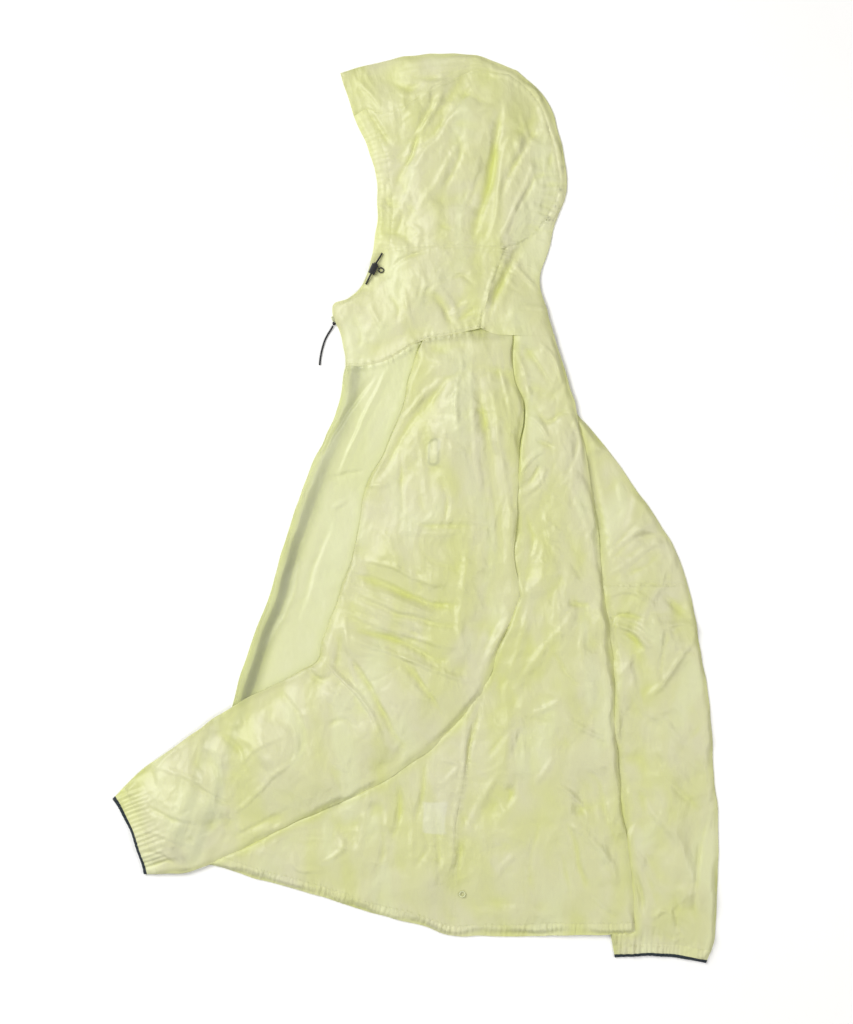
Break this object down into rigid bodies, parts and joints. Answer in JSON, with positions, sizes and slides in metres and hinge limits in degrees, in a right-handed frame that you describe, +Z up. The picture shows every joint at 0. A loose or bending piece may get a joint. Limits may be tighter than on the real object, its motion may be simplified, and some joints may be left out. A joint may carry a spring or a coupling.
{
  "type": "hooded windbreaker jacket",
  "caption": "Thin see-through hooded windbreaker jacket with a full zip, laid flat in profile, to wear over other clothes against wind.",
  "frame": {"origin": "middle of the outline's box, on the surface that the jacket lies on", "axes": "+Y toward the hood, +X toward the back of the jacket, +Z up from the surface"},
  "size_m": [0.6646, 0.9994, 0.0176],
  "materials": {
    "shell_cloth": "glossy, thin, see-through nylon",
    "cuff_binding": "matt knitted elastic",
    "zip_tape": "woven tape",
    "zip_coil": "satin coil",
    "black_cord": "braided round cord",
    "black_plastic": "satin moulded plastic",
    "zip_slider": "satin coated metal",
    "eyelet": "stitched and sealed ring",
    "inner_tape": "folded woven tape",
    "label_cloth": "soft blank satin"
  },
  "bodies": {
    "root": {"front_left": "shell_cloth", "front_right": "shell_cloth", "back": "shell_cloth", "back_yoke": "shell_cloth", "sleeve_left_upper": "shell_cloth", "sleeve_left_lower": "shell_cloth", "sleeve_right_upper": "shell_cloth", "sleeve_right_lower": "shell_cloth", "cuff_left": "shell_cloth", "cuff_right": "shell_cloth", "neck_left": "shell_cloth", "neck_right": "shell_cloth", "hood_side_left": "shell_cloth", "hood_side_right": "shell_cloth", "face_casing_left": "shell_cloth", "face_casing_right": "shell_cloth", "hood_centre": "shell_cloth", "hem_casing": "shell_cloth", "cuff_binding_left": "cuff_binding", "cuff_binding_right": "cuff_binding", "zip_tape_left": "zip_tape", "zip_tape_right": "zip_tape", "zip_coil": "zip_coil", "draw_cord": "black_cord", "zip_pull_cord": "black_cord", "zip_pull_knot": "black_cord", "cord_lock": "black_plastic", "cord_lock_ring": "black_plastic", "zip_slider": "zip_slider", "hem_eyelet": "eyelet", "inner_loop": "inner_tape", "care_label": "label_cloth"}
  },
  "joints": []
}
